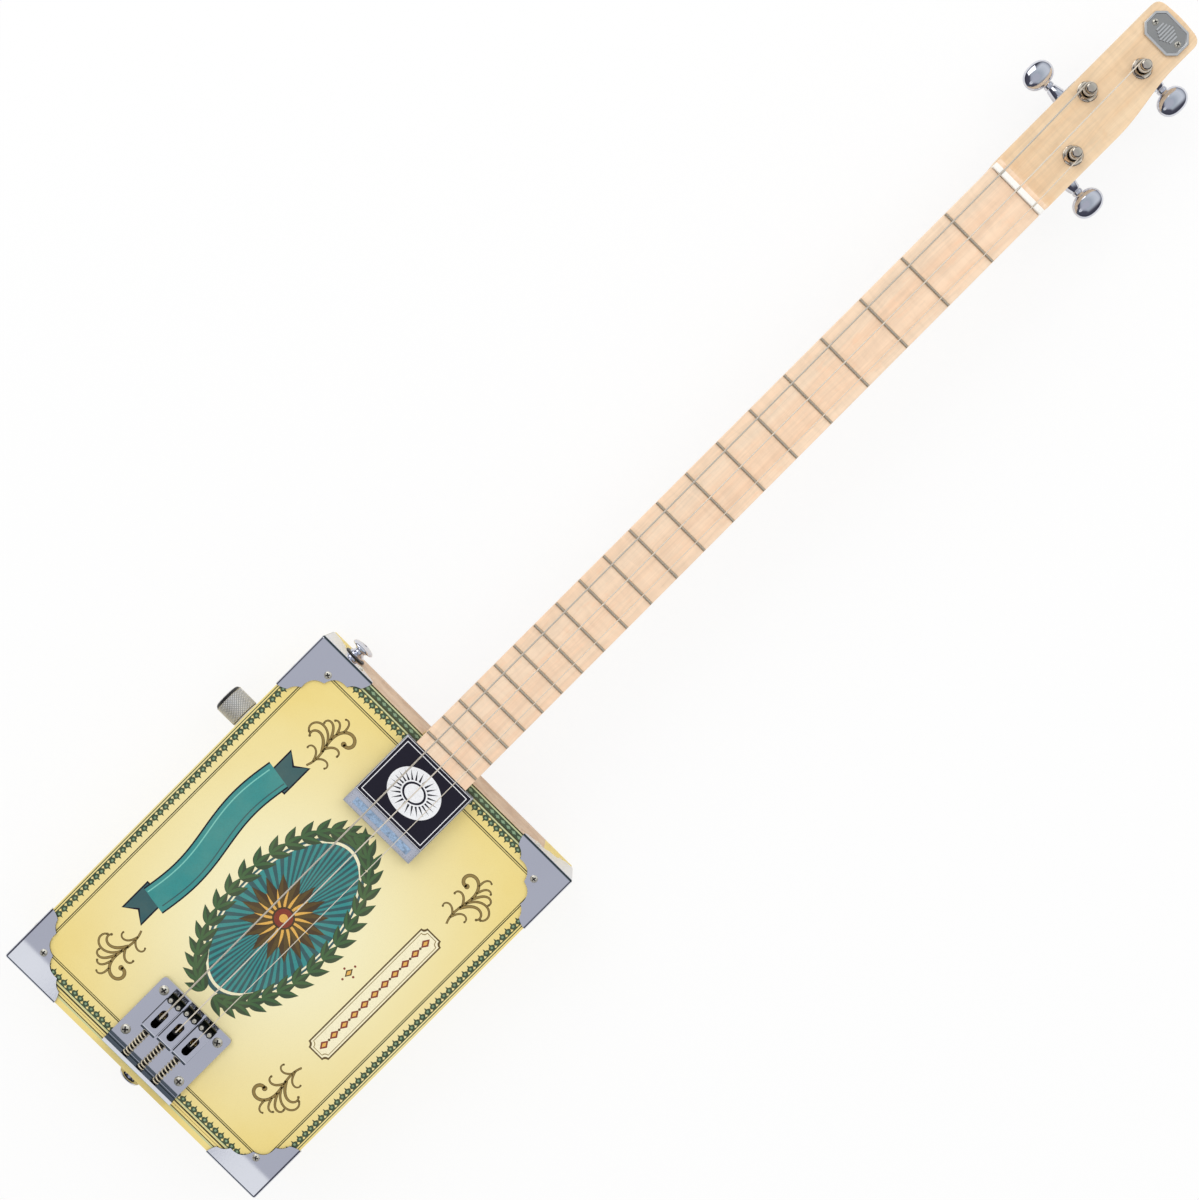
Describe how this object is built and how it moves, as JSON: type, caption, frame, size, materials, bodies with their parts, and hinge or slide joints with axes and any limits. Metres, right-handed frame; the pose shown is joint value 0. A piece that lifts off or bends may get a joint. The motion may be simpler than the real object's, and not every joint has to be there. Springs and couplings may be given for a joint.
{
  "type": "cigar box guitar",
  "caption": "Electric cigar box guitar: papered wooden box with metal corners, maple neck, strings, tuners, pickup, hard-tail bridge, volume knob and jack.",
  "frame": {"origin": "centre of the box's back face, which the guitar lies on", "axes": "+Z out through the lid towards the strings, +Y along the neck towards the head, +X to the right seen from the front with the head up"},
  "size_m": [0.2119, 0.832, 0.0592],
  "materials": {
    "papered_wood": "printed paper, satin",
    "corner_metal": "polished",
    "neck_wood": "satin",
    "fretboard_wood": "satin",
    "nut_plastic": "gloss",
    "plated_metal": "polished",
    "screw_steel": "plain",
    "spring_steel": "plain",
    "string_steel": "plain",
    "pickup_shell": "silvered",
    "pickup_cover_face": "printed, satin",
    "coil_copper": "enamelled wire",
    "jack_plastic": "matte",
    "felt": "felt"
  },
  "bodies": {
    "guitar": {"back_board": "papered_wood", "neck_side_wall": "papered_wood", "tail_wall": "papered_wood", "knob_side_wall": "papered_wood", "jack_side_wall": "papered_wood", "lid": "papered_wood", "corner_neck_left": "corner_metal", "corner_neck_right": "corner_metal", "corner_tail_left": "corner_metal", "corner_tail_right": "corner_metal", "neck": "neck_wood", "fretboard": "fretboard_wood", "nut": "nut_plastic", "head_plate": "plated_metal", "tuner_housing_left": "plated_metal", "tuner_nut_left": "plated_metal", "tuner_housing_upper_right": "plated_metal", "tuner_nut_upper_right": "plated_metal", "tuner_housing_lower_right": "plated_metal", "tuner_nut_lower_right": "plated_metal", "bridge_plate": "plated_metal", "intonation_spring_1": "spring_steel", "intonation_spring_2": "spring_steel", "intonation_spring_3": "spring_steel", "string_1": "string_steel", "string_2": "string_steel", "string_3": "string_steel", "pickup_case": "pickup_shell", "pickup_cover": "pickup_cover_face", "pickup_coil": "coil_copper", "volume_pot": "spring_steel", "pot_nut": "plated_metal", "output_jack": "jack_plastic", "jack_nut": "plated_metal", "felt_washer_neck": "felt", "strap_button_neck": "plated_metal", "felt_washer_tail": "felt", "strap_button_tail": "plated_metal"},
    "button_left": {"tuner_button_left": "plated_metal"},
    "post_left": {"tuner_post_left": "plated_metal"},
    "button_upper_right": {"tuner_button_upper_right": "plated_metal"},
    "post_upper_right": {"tuner_post_upper_right": "plated_metal"},
    "button_lower_right": {"tuner_button_lower_right": "plated_metal"},
    "post_lower_right": {"tuner_post_lower_right": "plated_metal"},
    "saddle_unit_1": {"saddle_1": "plated_metal"},
    "intonation_unit_1": {"intonation_screw_1": "screw_steel"},
    "height_unit_1": {"height_screw_1": "screw_steel"},
    "height_unit_2": {"height_screw_2": "screw_steel"},
    "saddle_unit_2": {"saddle_2": "plated_metal"},
    "intonation_unit_2": {"intonation_screw_2": "screw_steel"},
    "height_unit_3": {"height_screw_3": "screw_steel"},
    "height_unit_4": {"height_screw_4": "screw_steel"},
    "saddle_unit_3": {"saddle_3": "plated_metal"},
    "intonation_unit_3": {"intonation_screw_3": "screw_steel"},
    "height_unit_5": {"height_screw_5": "screw_steel"},
    "height_unit_6": {"height_screw_6": "screw_steel"},
    "volume_control": {"volume_knob": "plated_metal", "pot_shaft": "spring_steel"}
  },
  "joints": [
    {"name": "button_turn_left", "type": "hinge", "parent": "guitar", "child": "button_left", "pos_m": [-0.0359, 0.6267, 0.0235], "axis": [-1, 0, 0], "continuous": true},
    {"name": "post_turn_left", "type": "hinge", "parent": "guitar", "child": "post_left", "pos_m": [-0.0104, 0.6332, 0.042], "axis": [0, 0, 1], "continuous": true},
    {"name": "button_turn_upper_right", "type": "hinge", "parent": "guitar", "child": "button_upper_right", "pos_m": [0.0274, 0.6697, 0.0235], "axis": [1, 0, 0], "continuous": true},
    {"name": "post_turn_upper_right", "type": "hinge", "parent": "guitar", "child": "post_upper_right", "pos_m": [0.0019, 0.6632, 0.042], "axis": [0, 0, 1], "continuous": true},
    {"name": "button_turn_lower_right", "type": "hinge", "parent": "guitar", "child": "button_lower_right", "pos_m": [0.0343, 0.5967, 0.0235], "axis": [1, 0, 0], "continuous": true},
    {"name": "post_turn_lower_right", "type": "hinge", "parent": "guitar", "child": "post_lower_right", "pos_m": [0.0088, 0.6032, 0.042], "axis": [0, 0, 1], "continuous": true},
    {"name": "saddle_slide_1", "type": "slide", "parent": "guitar", "child": "saddle_unit_1", "axis": [0, 1, 0], "range_m": [-0.004, 0.002], "deforming": ["intonation_spring_1"]},
    {"name": "intonation_turn_1", "type": "hinge", "parent": "guitar", "child": "intonation_unit_1", "pos_m": [-0.0113, -0.118, 0.0529], "axis": [0, 1, 0], "range_deg": [-2300, 1150]},
    {"name": "height_turn_1", "type": "hinge", "parent": "saddle_unit_1", "child": "height_unit_1", "pos_m": [-0.0142, -0.0756, 0.0493], "axis": [0, 0, 1], "range_deg": [-720, 720]},
    {"name": "height_turn_2", "type": "hinge", "parent": "saddle_unit_1", "child": "height_unit_2", "pos_m": [-0.0084, -0.0756, 0.0493], "axis": [0, 0, 1], "range_deg": [-720, 720]},
    {"name": "saddle_slide_2", "type": "slide", "parent": "guitar", "child": "saddle_unit_2", "axis": [0, 1, 0], "range_m": [-0.004, 0.002], "deforming": ["intonation_spring_2"]},
    {"name": "intonation_turn_2", "type": "hinge", "parent": "guitar", "child": "intonation_unit_2", "pos_m": [0, -0.118, 0.0529], "axis": [0, 1, 0], "range_deg": [-2300, 1150]},
    {"name": "height_turn_3", "type": "hinge", "parent": "saddle_unit_2", "child": "height_unit_3", "pos_m": [-0.0029, -0.0746, 0.0493], "axis": [0, 0, 1], "range_deg": [-720, 720]},
    {"name": "height_turn_4", "type": "hinge", "parent": "saddle_unit_2", "child": "height_unit_4", "pos_m": [0.0029, -0.0746, 0.0493], "axis": [0, 0, 1], "range_deg": [-720, 720]},
    {"name": "saddle_slide_3", "type": "slide", "parent": "guitar", "child": "saddle_unit_3", "axis": [0, 1, 0], "range_m": [-0.004, 0.002], "deforming": ["intonation_spring_3"]},
    {"name": "intonation_turn_3", "type": "hinge", "parent": "guitar", "child": "intonation_unit_3", "pos_m": [0.0113, -0.118, 0.0529], "axis": [0, 1, 0], "range_deg": [-2300, 1150]},
    {"name": "height_turn_5", "type": "hinge", "parent": "saddle_unit_3", "child": "height_unit_5", "pos_m": [0.0084, -0.0744, 0.0493], "axis": [0, 0, 1], "range_deg": [-720, 720]},
    {"name": "height_turn_6", "type": "hinge", "parent": "saddle_unit_3", "child": "height_unit_6", "pos_m": [0.0142, -0.0744, 0.0493], "axis": [0, 0, 1], "range_deg": [-720, 720]},
    {"name": "volume_turn", "type": "hinge", "parent": "guitar", "child": "volume_control", "pos_m": [-0.105, 0.059, 0.0235], "axis": [-1, 0, 0], "range_deg": [-150, 150]}
  ],
  "couplings": [
    {"joint": "post_turn_left", "follows": "button_turn_left", "ratio": 0.066667},
    {"joint": "post_turn_upper_right", "follows": "button_turn_upper_right", "ratio": 0.066667},
    {"joint": "post_turn_lower_right", "follows": "button_turn_lower_right", "ratio": 0.066667},
    {"joint": "intonation_turn_1", "follows": "saddle_slide_1", "rad_per_m": 9894.8},
    {"joint": "intonation_turn_2", "follows": "saddle_slide_2", "rad_per_m": 9894.8},
    {"joint": "intonation_turn_3", "follows": "saddle_slide_3", "rad_per_m": 9894.8}
  ]
}
